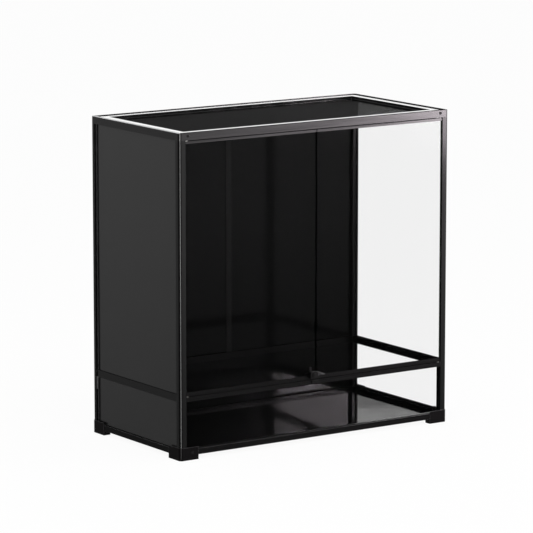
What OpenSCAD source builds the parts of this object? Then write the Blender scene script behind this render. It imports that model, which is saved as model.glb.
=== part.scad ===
// Front-opening reptile terrarium: a knock-down black frame with a deep base,
// two hinged glass doors, a lift-out screen top and closed black back and left side.
// Millimetres. +X right, +Y to the back, +Z up.
// Origin: centre of the footprint, on the surface that the feet stand on.

/* [Enclosure] */
// Width over the corner posts
tank_w = 915; // [700:5:1220]
// Depth over the corner posts
tank_d = 457; // [400:1:610]
// Height from the ground to the top rim
tank_h = 910; // [700:5:1220]

/* [Corner posts] */
// Width of a post, both ways
post_w = 20; // [19:0.5:24]
// Radius of the outer corner of posts and rails
corner_r = 8; // [6:0.5:9]
// Side of the square socket down the inside of a post
socket_w = 5; // [4:0.5:5.5]
// Distance from the outer faces to the socket
socket_inset = 4; // [3.5:0.25:4.5]
// Depth of a front post's face part beside the doors
post_face_t = 7; // [6:0.5:9]
// Width of a front post's side part behind that face
post_side_t = 11.5; // [11.5:0.5:15]

/* [Top rails] */
// Height of the top rails' outer face
top_rail_h = 20.5; // [19:0.5:26]
// Width of the rim beside the screen lid
rim_w = 12; // [11:0.5:13]
// Wall of the hollow part of the top rails
rail_skin = 3; // [2.5:0.25:3]
// Thickness of the ledge that carries the screen lid
ledge_h = 4; // [3.5:0.25:6]

/* [Mid rails] */
// Height of the underside of the side, rear and front mid rails
mid_rail_z = 165; // [120:5:220]
// Height of the side and rear mid rails
mid_rail_h = 19; // [17:0.5:26]
// How far the side and rear mid rails stand back from the posts' faces
mid_rail_inset = 3; // [1:0.5:3.5]
// Height of the front mid rail, which is the doors' sill
sill_h = 12.5; // [12:0.5:15]

/* [Base] */
// Height of the underside of the bottom rails
base_z = 13; // [8:0.5:20]
// Height of the bottom rails
base_rail_h = 16.5; // [15:0.5:24]
// Height of the floor panel above the underside of the bottom rails
floor_rise = 4; // [3:0.5:5]
// Thickness of the floor panel
floor_t = 4; // [3:0.5:5]
// How far the floor panel sits in the bottom rails
floor_seat = 4; // [3:0.5:5]

/* [Feet] */
// Length of each leg of a corner foot
foot_leg = 60; // [45:1:90]
// Height of a corner foot
foot_h = 36; // [30:1:45]
// Wall of a foot outside the posts and rails
foot_wall = 1.5; // [1:0.25:3]
// Length of the peg that stands in the post's socket
foot_peg = 40; // [20:1:60]

/* [Panels] */
// Thickness of the black side, back and floor panels
panel_t = 4; // [3:0.5:4.5]
// Thickness of the glass
glass_t = 5; // [4:0.5:5.5]
// Depth of a panel's face behind the frame's outer face
panel_inset = 5; // [4.5:0.25:5.5]
// How far a panel's edge sits in its groove
panel_seat = 4.5; // [3.5:0.25:4.5]
// Free room beyond a panel's edge in its groove
seat_play = 0.2; // [0.1:0.05:0.4]
// Width of the strip that joins the two upper back panels
joint_w = 18; // [16:1:30]
// Thickness of the joint strip outside each face of the back panels
joint_skin = 2; // [1.5:0.25:3]

/* [Screen lid] */
// Width of the lid's frame
lid_frame_w = 24; // [18:1:34]
// Height of the lid's frame
lid_h = 15.2; // [14:0.2:15.2]
// Gap between the lid and the rim, each side
lid_gap = 0.5; // [0.3:0.1:1.5]
// Width of the small step inside the lid's frame
lid_step = 2; // [1:0.5:4]
// Height of that step above the lid's underside
lid_step_h = 7.5; // [5:0.5:10]
// Thickness of the screen
screen_t = 0.8; // [0.6:0.1:1.2]
// How far the screen runs under the lid's frame
screen_grip = 5; // [3:0.5:8]
// Height of the cord that clamps the screen
spline_h = 1.1; // [0.8:0.1:2]
// Width of the cord that clamps the screen
spline_w = 3.5; // [2:0.5:4]

/* [Doors] */
// Gap between a door and its post
door_side_gap = 2; // [2:0.25:4]
// Gap between the two doors
door_mid_gap = 3; // [2:0.5:6]
// Gap under the doors
door_low_gap = 1.5; // [1:0.25:3]
// Gap over the doors
door_top_gap = 2.5; // [1.5:0.25:3.5]
// Depth of the glass behind the frame's front face
door_inset = 3; // [2.5:0.25:3.5]
// Height of the strip under a door
low_strip_h = 10.5; // [9:0.5:14]
// Height of the strip over a door
top_strip_h = 7; // [6.5:0.5:10]
// Wall of both strips, before and behind the glass
strip_wall = 1.2; // [0.8:0.1:1.4]
// How far the glass sits in the strips
strip_grip = 3.5; // [2.5:0.25:3.5]
// Distance of a hinge pin from the door's outer edge
pin_setback = 4; // [3.5:0.25:6]
// Radius of a hinge pin
pin_r = 2; // [1.5:0.1:2.2]
// Radial clearance of the pins and the lock's shaft
turn_fit = 0.05; // [0.02:0.01:0.08]
// Depth of a hinge pin in the frame
pin_root = 6; // [4:0.5:6]
// Depth of a hinge pin in the strip over a door
pin_top_depth = 2.6; // [2:0.2:3]
// Depth of a hinge pin in the strip under a door
pin_low_depth = 4.6; // [3:0.2:5]
// Radius of a hinge washer
washer_r = 3.4; // [3:0.1:3.6]

/* [Lock] */
// Width of the lock's case on the left door
lock_w = 25; // [22:0.5:30]
// Height of the lock's case
lock_h = 20; // [18:0.5:26]
// Depth of the lock's case in front of the glass
lock_depth = 12; // [9:0.5:12]
// Height of the case above the doors' lower edge
lock_rise = 3.5; // [2:0.5:6]
// Distance of the case from the middle of the doorway
lock_edge = 1; // [1:0.25:3]
// Radius of the turn knob
knob_r = 6.5; // [5.5:0.25:8]
// Height of the turn knob
knob_h = 3; // [2:0.5:4]
// Radius of the lock's shaft
shaft_r = 4; // [3:0.25:4]
// Radius of the hole for the shaft in the door glass
glass_hole_r = 5; // [4.5:0.25:6]
// Radius of the clamping nut behind the glass
nut_r = 8.5; // [7:0.25:9]
// Thickness of the clamping nut
nut_t = 3; // [2:0.25:3.5]
// Reach of the cam's two arms from the shaft's axis
cam_reach = 20; // [19:0.25:21]
// Width of an arm of the cam
cam_w = 7; // [6:0.25:8]
// Thickness of the cam
cam_t = 2; // [1.5:0.25:2.5]
// Gap between the nut and the cam
cam_gap = 0.3; // [0.2:0.1:0.6]
// Width of the strike plate on the sill
strike_w = 27; // [20:1:40]
// Thickness of the strike plate
strike_t = 4; // [2:0.5:4.5]
// Width of the finger pull on the right door
pull_w = 23; // [18:1:34]
// Depth of the finger pull
pull_depth = 7; // [5:0.5:9]
// Drop of the finger pull's roof from end to end
pull_drop = 9; // [4:0.5:10]

/* [Cable port] */
// Width of the slot beside the left rear post
port_w = 6; // [5.5:0.25:7]
// Height of the port in the lower left panel
port_h = 30; // [20:1:34]
// Width of the track strip beside the slot
track_w = 4.5; // [3:0.5:8]
// Thickness of the track strip and the gate
gate_t = 3; // [2:0.25:3.5]
// Height of the sliding gate
gate_h = 36; // [36:1:45]
// Play of the gate in its slot, each side
gate_play = 0.2; // [0.1:0.05:0.4]

/* [Fasteners] */
// Radius of a frame screw's shank
screw_r = 2; // [1.5:0.1:2.4]
// Radius of a frame screw's head
screw_head_r = 4.2; // [3.4:0.1:5]
// Height of a frame screw's head
screw_head_h = 1.4; // [1:0.1:1.5]
// Radius of the dowels in the mid rails
dowel_r = 2; // [1.5:0.1:2.2]
// Length of each end of a dowel
dowel_l = 7; // [5:0.5:8]

/* [Hidden] */

$fn = 48;
eps = 0.01;
half_w = tank_w / 2;
half_d = tank_d / 2;

// heights of the frame
post_top_z = tank_h - top_rail_h;
lid_z = post_top_z + ledge_h;
sill_top_z = mid_rail_z + sill_h;
mid_top_z = mid_rail_z + mid_rail_h;
base_top_z = base_z + base_rail_h;
floor_z = base_z + floor_rise;
groove_d = panel_seat + seat_play;

// distances of the panels' faces from the frame's outer face
panel_back = panel_inset + panel_t;
glass_back = panel_inset + glass_t;

// heights of the panels' edges
lower_z0 = base_top_z - panel_seat;
lower_z1 = mid_rail_z + panel_seat;
upper_z0 = mid_top_z - panel_seat;
upper_z1 = post_top_z + panel_seat;

// doors
door_x1 = half_w - post_w - door_side_gap;
door_x0 = door_mid_gap / 2;
door_z0 = sill_top_z + door_low_gap;
door_z1 = post_top_z - door_top_gap;
pin_x = door_x1 - pin_setback;
door_front_y = -half_d + door_inset;
door_back_y = door_front_y + glass_t;
pin_y = door_front_y + glass_t / 2;

// lock
lock_x0 = -lock_edge - lock_w;
lock_z0 = door_z0 + lock_rise;
lock_x = -lock_edge - lock_w / 2;
lock_z = lock_z0 + lock_h / 2;
lock_front_y = door_front_y - lock_depth;
cam_y = door_back_y + nut_t + cam_gap;
cam_hub_r = 5.25;
nut_play = 0.5;
cam_screw_r = 1.2;
cam_screw_l = 6;
cam_head_r = 3.6;
cam_head_h = 1.5;
spigot_wall = 1.2;
spigot_r = cam_screw_r + spigot_wall;
bore_over = 10;
knob_grip_w = 3;
knob_grip_h = 1;
knob_edge = 1;
case_round = 3;
strike_margin = [2, 0.5];
strike_shift = 4.5;
strike_round = 2;
pull_side = 0.5;
pull_low_gap = 0.2;
pull_roof = 2.4;
pull_wall = 2.2;
pull_back = 1.5;

// slot in the sill that the cam's arm turns down into
slot_side_play = 1.5;
slot_end_play = 1;
slot_y0 = cam_y - slot_side_play;
slot_y1 = cam_y + cam_t + slot_side_play;
slot_floor_z = lock_z - cam_reach - slot_end_play;
arm_tip_r = norm([cam_reach, cam_w / 2]);
arm_drop = lock_z - sill_top_z;
slot_half = sqrt(max(0, pow(arm_tip_r, 2) - pow(arm_drop, 2))) + slot_side_play;

// lid
lid_x = half_w - rim_w - lid_gap;
lid_y = half_d - rim_w - lid_gap;
lid_round = 4;
hole_x = lid_x - lid_frame_w;
hole_y = lid_y - lid_frame_w;
step_x = hole_x - lid_step;
step_y = hole_y - lid_step;
screen_x = step_x + screen_grip;
screen_y = step_y + screen_grip;
screen_z = lid_z + spline_h;

// strip that joins the two upper back panels
joint_web = 6;

// cable port beside the left rear post
post_cut = 4;
slot_v0 = post_w - post_cut;
track_v0 = slot_v0 + port_w;
port_margin = 0.5;
port_head = 2.5;
port_z1 = mid_rail_z - port_head;
port_z0 = port_z1 - port_h;
gate_z1 = mid_rail_z - gate_play;

// screws and dowels
rim_screw_u = 28.5;
rim_screw_drop = 8;
rim_screw_x = half_w - rim_screw_u;
rim_screw_z = tank_h - rim_screw_drop;
rim_screw_l = rim_w - rail_skin;
foot_screw_u = 38;
foot_screw_z = 20;
foot_screw_l = 12;
side_dowel_rise = 11.4;
cross_dowel_rise = 4.5;
side_dowel_z = mid_rail_z + side_dowel_rise;
cross_dowel_z = mid_rail_z + cross_dowel_rise;
dowel_u = post_w - dowel_l;
key_leg = 44;
key_h = 11;
key_drop = 40;
key_z = tank_h - rail_skin - key_h;
bolt_fit = 0.05;

// ---------- helpers ----------

// places its children in a corner, with +X and +Y running inwards from the outer faces
module at_corner(sx, sy) {
  translate([sx * half_w, sy * half_d, 0])
    mirror([sx > 0 ? 1 : 0, 0, 0])
      mirror([0, sy > 0 ? 1 : 0, 0])
        children();
}

// a square with its outer corner rounded
module corner_square(s, r) {
  translate([r, r]) circle(r = r);
  translate([r, 0]) square([s - r, s]);
  translate([0, r]) square([s, s - r]);
}

// a centred rectangle with four rounded corners
module round_rect(hx, hy, r) {
  square([2 * hx, 2 * (hy - r)], center = true);
  square([2 * (hx - r), 2 * hy], center = true);
  for (sx = [-1, 1], sy = [-1, 1])
    translate([sx * (hx - r), sy * (hy - r)]) circle(r = r);
}

// a box from its lowest to its highest corner
module block(lo, hi) {
  translate(lo) cube([hi[0] - lo[0], hi[1] - lo[1], hi[2] - lo[2]]);
}

// a screw along +Z with its head's top at z = 0
module screw(r, len, head_r, head_h) {
  translate([0, 0, -len - head_h]) cylinder(r = r, h = len + eps);
  translate([0, 0, -head_h]) cylinder(r = head_r, h = head_h);
}

// ---------- posts ----------

module post_blank() {
  difference() {
    corner_square(post_w, corner_r);
    translate([socket_inset, socket_inset]) square(socket_w);
  }
}

// groove in the post for a panel on the left or right side
module side_groove(t) {
  block([panel_inset, post_w - groove_d, 0], [panel_inset + t, post_w + eps, tank_h]);
}

// groove in the post for a panel at the back or front
module cross_groove(t, z1) {
  block([post_w - groove_d, panel_inset, 0], [post_w + eps, panel_inset + t, z1]);
}

module post(sx, sy) {
  color("#262626")
  difference() {
    at_corner(sx, sy)
      difference() {
        translate([0, 0, base_z]) linear_extrude(post_top_z - base_z) post_blank();
        side_groove(sx < 0 ? panel_t : glass_t);
        if (sy > 0) cross_groove(panel_t, tank_h);
        else {
          cross_groove(glass_t, lower_z1 + seat_play);
          doorway_relief();
        }
        if (sx < 0 && sy > 0) cable_slot();
      }
    rail_dowels_solid();
  }
}

// beside the doors a front post is an L, so that it narrows the doorway no more than its face does
module doorway_relief() {
  block([post_side_t, post_face_t, mid_top_z], [post_w + eps, post_w + eps, tank_h]);
}

// the left rear post's outer flange stands back, and its inner one has a notch for cables
module cable_slot() {
  block([-eps, slot_v0, 0], [panel_inset, post_w + eps, tank_h]);
  block([panel_inset, slot_v0 + port_margin, port_z0], [post_w + eps, post_w + eps, port_z1]);
}

// ---------- rails ----------

// hollow section of a top rail: X runs inwards, Y up
module top_rail_section(groove_t) {
  difference() {
    union() {
      square([rim_w, top_rail_h]);
      square([post_w, ledge_h]);
    }
    translate([rail_skin, rail_skin])
      square([rim_w - 2 * rail_skin, top_rail_h - 2 * rail_skin]);
    if (groove_t > 0)
      translate([panel_inset, -eps]) square([groove_t, groove_d + eps]);
  }
}

// what the corner keys need: the hole for the down leg in both mitred rails
module key_holes() {
  for (sx = [-1, 1], sy = [-1, 1])
    at_corner(sx, sy)
      block([socket_inset, socket_inset, post_top_z - eps],
            [socket_inset + socket_w, socket_inset + socket_w, post_top_z + rail_skin + eps]);
}

module mitre(long, s) {
  a = long ? half_w : half_d;
  b = long ? half_d : half_w;
  rotate([0, 0, long ? 0 : 90])
    linear_extrude(tank_h * 2)
      polygon([[-a, s * b], [a, s * b], [a - post_w, s * (b - post_w)],
               [-a + post_w, s * (b - post_w)]]);
}

module top_rail(long, s, groove_t) {
  len = long ? tank_w : tank_d;
  color("#4a464a")
  difference() {
    intersection() {
      translate([0, 0, post_top_z])
        rotate([0, 0, long ? 0 : 90])
          mirror([0, s > 0 ? 1 : 0, 0])
            translate([-len / 2, -(long ? half_d : half_w), 0])
              rotate([90, 0, 90])
                linear_extrude(len) top_rail_section(groove_t);
      mitre(long, s);
      linear_extrude(tank_h * 2) round_rect(half_w, half_d, corner_r);
    }
    key_holes();
    rim_screws_solid(bolt_fit);
    hinge_pins_solid(0);
  }
}

module corner_key(sx, sy) {
  color("#1c1c1c")
  difference() {
    at_corner(sx, sy) {
      block([rail_skin, rail_skin, key_z], [key_leg, rim_w - rail_skin, tank_h - rail_skin]);
      block([rail_skin, rail_skin, key_z], [rim_w - rail_skin, key_leg, tank_h - rail_skin]);
      block([socket_inset, socket_inset, post_top_z - key_drop],
            [socket_inset + socket_w, socket_inset + socket_w, key_z + eps]);
    }
    rim_screws_solid(bolt_fit);
  }
}

// a straight rail between two posts, with grooves above and below for panels
module side_rail(s, z0, z1, inset, groove_t, groove_low, groove_high) {
  u0 = inset;
  y = half_d - post_w;
  x_groove = [panel_inset, panel_inset + groove_t];
  color("#2a2a2a")
  difference() {
    mirror([s > 0 ? 1 : 0, 0, 0])
      translate([-half_w, 0, 0])
        difference() {
          block([u0, -y, z0], [post_w, y, z1]);
          if (groove_low)
            block([x_groove[0], -y - eps, z0 - eps], [x_groove[1], y + eps, z0 + groove_d]);
          if (groove_high)
            block([x_groove[0], -y - eps, z1 - groove_d], [x_groove[1], y + eps, z1 + eps]);
        }
    rail_dowels_solid();
  }
}

module cross_rail(s, z0, z1, inset, groove_t, groove_low, groove_high) {
  x = half_w - post_w;
  y_groove = [panel_inset, panel_inset + groove_t];
  color("#2a2a2a")
  difference() {
    mirror([0, s > 0 ? 1 : 0, 0])
      translate([0, -half_d, 0])
        difference() {
          block([-x, inset, z0], [x, post_w, z1]);
          if (groove_low)
            block([-x - eps, y_groove[0], z0 - eps], [x + eps, y_groove[1], z0 + groove_d]);
          if (groove_high)
            block([-x - eps, y_groove[0], z1 - groove_d], [x + eps, y_groove[1], z1 + eps]);
        }
    rail_dowels_solid();
  }
}

module sill() {
  difference() {
    cross_rail(-1, mid_rail_z, sill_top_z, 0, glass_t, true, false);
    block([lock_x - slot_half, slot_y0, slot_floor_z],
          [lock_x + slot_half, slot_y1, sill_top_z + eps]);
    hinge_pins_solid(0);
  }
}

module base_rail(long, s, groove_t) {
  difference() {
    if (long) cross_rail(s, base_z, base_top_z, 0, groove_t, false, true);
    else side_rail(s, base_z, base_top_z, 0, groove_t, false, true);
    floor_solid(seat_play);
    foot_screws_solid(bolt_fit);
  }
}

// the floor panel, and with play the room for it in the bottom rails
module floor_solid(play) {
  x = half_w - post_w;
  y = half_d - post_w;
  s = floor_seat + play;
  block([-x - s, -y, floor_z], [x + s, y, floor_z + floor_t]);
  block([-x, -y - s, floor_z], [x, y + s, floor_z + floor_t]);
}

// ---------- feet ----------

module foot(sx, sy) {
  color("#2c2a2c")
  difference() {
    at_corner(sx, sy) {
      difference() {
        linear_extrude(foot_h)
          intersection() {
            translate([-foot_wall, -foot_wall])
              corner_square(foot_leg, corner_r + foot_wall);
            union() {
              translate([-foot_wall, -foot_wall]) square([foot_leg, post_w + foot_wall]);
              translate([-foot_wall, -foot_wall]) square([post_w + foot_wall, foot_leg]);
            }
          }
        translate([0, 0, base_z]) linear_extrude(foot_h) corner_square(foot_leg, corner_r);
      }
      block([socket_inset, socket_inset, base_z - eps],
            [socket_inset + socket_w, socket_inset + socket_w, base_z + foot_peg]);
    }
    foot_screws_solid(bolt_fit);
  }
}

// ---------- fasteners ----------

module rim_screws_solid(fit = 0) {
  for (sx = [-1, 1], sy = [-1, 1])
    translate([sx * rim_screw_x, sy * (half_d + screw_head_h), rim_screw_z])
      rotate([sy > 0 ? -90 : 90, 0, 0])
        screw(screw_r + fit, rim_screw_l + fit, screw_head_r, screw_head_h);
}

// one screw in the face of each foot; the right front foot has its screw in the side
module foot_screws_solid(fit = 0) {
  out = foot_wall + screw_head_h;
  for (c = [[-1, -1, 0], [-1, 1, 0], [1, 1, 0], [1, -1, 1]])
    at_corner(c[0], c[1])
      translate(c[2] == 0 ? [foot_screw_u, -out, foot_screw_z] : [-out, foot_screw_u, foot_screw_z])
        rotate(c[2] == 0 ? [90, 0, 0] : [0, -90, 0])
          screw(screw_r + fit, foot_screw_l + fit, screw_head_r, screw_head_h);
}

// dowels that hold the mid rails' ends to the posts
module rail_dowels_solid() {
  y = half_d - post_w;
  x = half_w - post_w;
  for (sx = [-1, 1], sy = [-1, 1]) {
    translate([sx * (half_w - dowel_u), sy * y, side_dowel_z])
      rotate([90, 0, 0]) cylinder(r = dowel_r, h = 2 * dowel_l, center = true);
    translate([sx * x, sy * (half_d - dowel_u), cross_dowel_z])
      rotate([0, 90, 0]) cylinder(r = dowel_r, h = 2 * dowel_l, center = true);
  }
}

// pins in the top rail and the sill that the doors turn on
module hinge_pins_solid(fit = 0) {
  for (s = [-1, 1]) {
    translate([s * pin_x, pin_y, sill_top_z - pin_root])
      cylinder(r = pin_r + fit, h = pin_root + door_low_gap + pin_low_depth);
    translate([s * pin_x, pin_y, door_z1 - pin_top_depth])
      cylinder(r = pin_r + fit, h = pin_top_depth + door_top_gap + pin_root);
  }
}

module hinge_washers() {
  color("#8a8a8a")
  for (s = [-1, 1], z = [[sill_top_z, door_low_gap], [door_z1, door_top_gap]])
    translate([s * pin_x, pin_y, z[0]])
      difference() {
        cylinder(r = washer_r, h = z[1]);
        translate([0, 0, -eps]) cylinder(r = pin_r + turn_fit, h = z[1] + 2 * eps);
      }
}

// ---------- panels ----------

module side_panel(s, z0, z1, t) {
  y = half_d - post_w + panel_seat;
  mirror([s > 0 ? 1 : 0, 0, 0])
    block([-half_w + panel_inset, -y, z0], [-half_w + panel_inset + t, y, z1]);
}

module panel_left_upper() {
  color("#3a3a3a") side_panel(-1, upper_z0, upper_z1, panel_t);
}

module panel_left_lower() {
  color("#343434")
  difference() {
    side_panel(-1, lower_z0, lower_z1, panel_t);
    at_corner(-1, 1)
      block([panel_inset - eps, slot_v0 + port_margin, port_z0],
            [panel_back + eps, track_v0 - port_margin, port_z1]);
  }
}

module glass_right(z0, z1) {
  color("#c8d2d0", 0.3) side_panel(1, z0, z1, glass_t);
}

module glass_front_lower() {
  x = half_w - post_w + panel_seat;
  color("#c8d2d0", 0.3)
    block([-x, -half_d + panel_inset, lower_z0], [x, -half_d + glass_back, lower_z1]);
}

module panel_rear_upper(s) {
  x = half_w - post_w + panel_seat;
  color("#1c1c1c")
  mirror([s > 0 ? 1 : 0, 0, 0])
    block([-x, half_d - panel_back, upper_z0], [-joint_web / 2, half_d - panel_inset, upper_z1]);
}

module panel_rear_lower() {
  x = half_w - post_w + panel_seat;
  color("#1c1c1c")
    block([-x, half_d - panel_back, lower_z0], [x, half_d - panel_inset, lower_z1]);
}

module joint_strip_rear() {
  y0 = half_d - panel_back - joint_skin;
  y1 = half_d - panel_inset + joint_skin;
  color("#303030")
  difference() {
    block([-joint_w / 2, y0, mid_top_z], [joint_w / 2, y1, post_top_z]);
    for (s = [-1, 1])
      translate([s * (joint_w / 2 + joint_web / 2) / 2, (y0 + y1) / 2, (mid_top_z + post_top_z) / 2])
        cube([joint_w / 2 - joint_web / 2 + eps, panel_t, tank_h], center = true);
  }
}

module floor_panel() {
  color("#202020") floor_solid(0);
}

// ---------- cable port ----------

module cable_track() {
  color("#2a2a2a")
  at_corner(-1, 1)
    for (z = [[base_top_z, mid_rail_z], [mid_top_z, post_top_z]])
      block([panel_inset - gate_t, track_v0, z[0]], [panel_inset, track_v0 + track_w, z[1]]);
}

module cable_gate() {
  color("#5f5f5f")
  at_corner(-1, 1)
    block([panel_inset - gate_t, slot_v0 + gate_play, gate_z1 - gate_h],
          [panel_inset, track_v0 - gate_play, gate_z1]);
}

// ---------- screen lid ----------

module lid_frame() {
  color("#2b2b2b")
  difference() {
    translate([0, 0, lid_z]) linear_extrude(lid_h) round_rect(lid_x, lid_y, lid_round);
    translate([0, 0, lid_z - eps])
      linear_extrude(lid_h + 2 * eps) round_rect(step_x, step_y, lid_round);
    translate([0, 0, lid_z + lid_step_h])
      linear_extrude(lid_h) round_rect(hole_x, hole_y, lid_round);
    block([-screen_x, -screen_y, lid_z - eps], [screen_x, screen_y, screen_z + screen_t]);
  }
}

module lid_screen() {
  color("#2b2b2b")
    block([-screen_x, -screen_y, screen_z], [screen_x, screen_y, screen_z + screen_t]);
}

module lid_spline() {
  color("#141414")
  difference() {
    block([-screen_x, -screen_y, lid_z], [screen_x, screen_y, screen_z]);
    block([-screen_x + spline_w, -screen_y + spline_w, lid_z - eps],
          [screen_x - spline_w, screen_y - spline_w, screen_z + eps]);
  }
}

// ---------- doors ----------

module door_glass(s) {
  color("#c8d2d0", 0.3)
  difference() {
    mirror([s > 0 ? 1 : 0, 0, 0])
      block([-door_x1, door_front_y, door_z0 + low_strip_h - strip_grip],
            [-door_x0, door_back_y, door_z1 - top_strip_h + strip_grip]);
    if (s < 0) lock_bore(glass_hole_r);
  }
}

// a strip along the door's edge, with a groove for the glass from glass_z0 to glass_z1
module door_strip(s, z0, z1, glass_z0, glass_z1) {
  color("#3a383a")
  difference() {
    mirror([s > 0 ? 1 : 0, 0, 0])
      difference() {
        block([-door_x1, door_front_y - strip_wall, z0], [-door_x0, door_back_y + strip_wall, z1]);
        block([-door_x1 - eps, door_front_y, glass_z0], [-door_x0 + eps, door_back_y, glass_z1]);
      }
    hinge_pins_solid(turn_fit);
    if (s < 0) {
      lock_bore(glass_hole_r);
      lock_bar(nut_r + nut_play, door_back_y, door_back_y + 2 * strip_wall);
    }
  }
}

module door_low_strip(s) {
  z = door_z0 + low_strip_h;
  door_strip(s, door_z0, z, z - strip_grip, z + eps);
}

module door_top_strip(s) {
  z = door_z1 - top_strip_h;
  door_strip(s, z, door_z1, z - eps, z + strip_grip);
}

// ---------- lock ----------

// a round bar along +Y on the lock's axis
module lock_bar(r, y0, y1) {
  translate([lock_x, y0, lock_z]) rotate([-90, 0, 0]) cylinder(r = r, h = y1 - y0);
}

// the same from well before the case to well behind the cam, for boring
module lock_bore(r) {
  lock_bar(r, lock_front_y - bore_over, cam_y + bore_over);
}

module lock_case() {
  color("#1d1d1d")
  difference() {
    translate([lock_x, door_front_y, lock_z])
      rotate([90, 0, 0])
        linear_extrude(lock_depth) round_rect(lock_w / 2, lock_h / 2, case_round);
    block([lock_x0 - eps, door_front_y - strip_wall, door_z0],
          [-lock_edge + eps, door_front_y + eps, door_z0 + low_strip_h]);
    lock_bore(shaft_r + turn_fit);
  }
}

module lock_nut() {
  color("#777777")
  difference() {
    lock_bar(nut_r, door_back_y, door_back_y + nut_t);
    lock_bore(shaft_r + turn_fit);
  }
}

module lock_knob() {
  color("#8c8c8c") {
    lock_bar(knob_r, lock_front_y - knob_h, lock_front_y);
    block([lock_x - knob_grip_w / 2, lock_front_y - knob_h - knob_grip_h,
           lock_z - knob_r + knob_edge],
          [lock_x + knob_grip_w / 2, lock_front_y - knob_h + eps, lock_z + knob_r - knob_edge]);
    difference() {
      union() {
        lock_bar(shaft_r, lock_front_y - eps, cam_y);
        lock_bar(spigot_r, cam_y - eps, cam_y + cam_t);
      }
      lock_bar(cam_screw_r, cam_y - cam_screw_l, cam_y + bore_over);
    }
  }
}

// two arms at a right angle: unlocked they point up and left, locked down and right
module lock_cam() {
  color("#9a9a9a")
  translate([lock_x, cam_y + cam_t, lock_z])
    rotate([90, 0, 0])
      linear_extrude(cam_t)
        difference() {
          union() {
            circle(r = cam_hub_r);
            translate([-cam_w / 2, 0]) square([cam_w, cam_reach]);
            translate([-cam_reach, -cam_w / 2]) square([cam_reach, cam_w]);
          }
          circle(r = spigot_r);
        }
}

module cam_screw() {
  color("#b0b0b0") {
    lock_bar(cam_screw_r, cam_y - cam_screw_l, cam_y + cam_t + eps);
    lock_bar(cam_head_r, cam_y + cam_t, cam_y + cam_t + cam_head_h);
  }
}

// plate on the sill's face under the lock
module lock_strike() {
  z0 = mid_rail_z + strike_margin[0];
  z1 = sill_top_z - strike_margin[1];
  color("#3c3a3c")
    translate([-strike_shift, -half_d, (z0 + z1) / 2])
      rotate([90, 0, 0])
        linear_extrude(strike_t) round_rect(strike_w / 2, (z1 - z0) / 2, strike_round);
}

// finger pull on the right door: a sloping roof over a hollow, with a cheek at its left
module door_right_pull() {
  z = door_z0 + low_strip_h;
  x0 = door_x0 + pull_side;
  x1 = x0 + pull_w;
  low = pull_roof + pull_low_gap;
  high = low + pull_drop;
  color("#555355")
    translate([0, door_front_y, z])
      rotate([90, 0, 0]) {
        linear_extrude(pull_depth) {
          polygon([[x0, high], [x1, low], [x1, low - pull_roof], [x0, high - pull_roof]]);
          translate([x0, 0]) square([pull_wall, high - pull_roof / 2]);
        }
        linear_extrude(pull_back) polygon([[x0, 0], [x0, high], [x1, low], [x1, 0]]);
      }
}

// ---------- nodes ----------

post(-1, -1);  // post_front_left
post(1, -1);  // post_front_right
post(-1, 1);  // post_rear_left
post(1, 1);  // post_rear_right

top_rail(true, -1, 0);  // top_rail_front
top_rail(true, 1, panel_t);  // top_rail_rear
top_rail(false, 1, panel_t);  // top_rail_left
top_rail(false, -1, glass_t);  // top_rail_right

sill();  // sill_front
cross_rail(1, mid_rail_z, mid_top_z, mid_rail_inset, panel_t, true, true);  // mid_rail_rear
side_rail(-1, mid_rail_z, mid_top_z, mid_rail_inset, panel_t, true, true);  // mid_rail_left
side_rail(1, mid_rail_z, mid_top_z, mid_rail_inset, glass_t, true, true);  // mid_rail_right

base_rail(true, -1, glass_t);  // base_rail_front
base_rail(true, 1, panel_t);  // base_rail_rear
base_rail(false, -1, panel_t);  // base_rail_left
base_rail(false, 1, glass_t);  // base_rail_right

foot(-1, -1);  // foot_front_left
foot(1, -1);  // foot_front_right
foot(-1, 1);  // foot_rear_left
foot(1, 1);  // foot_rear_right

corner_key(-1, -1);  // corner_key_front_left
corner_key(1, -1);  // corner_key_front_right
corner_key(-1, 1);  // corner_key_rear_left
corner_key(1, 1);  // corner_key_rear_right

color("#3a3436") rim_screws_solid();  // rim_screws
color("#4a4a4a") foot_screws_solid();  // foot_screws
color("#9a9a9a") rail_dowels_solid();  // rail_dowels

panel_left_upper();
panel_left_lower();
glass_right(upper_z0, upper_z1);  // glass_right_upper
glass_right(lower_z0, lower_z1);  // glass_right_lower
glass_front_lower();
panel_rear_upper(-1);  // panel_rear_upper_left
panel_rear_upper(1);  // panel_rear_upper_right
panel_rear_lower();
joint_strip_rear();
floor_panel();

cable_track();
cable_gate();

color("#a8a8a8") hinge_pins_solid();  // hinge_pins
hinge_washers();
lock_strike();

lid_frame();
lid_screen();
lid_spline();

door_glass(-1);  // door_left_glass
door_top_strip(-1);  // door_left_top_strip
door_low_strip(-1);  // door_left_low_strip
lock_case();
lock_nut();

door_glass(1);  // door_right_glass
door_top_strip(1);  // door_right_top_strip
door_low_strip(1);  // door_right_low_strip
door_right_pull();

lock_knob();
lock_cam();
cam_screw();
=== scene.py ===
import math

import bmesh
import bpy
from mathutils import Matrix, Vector


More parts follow.
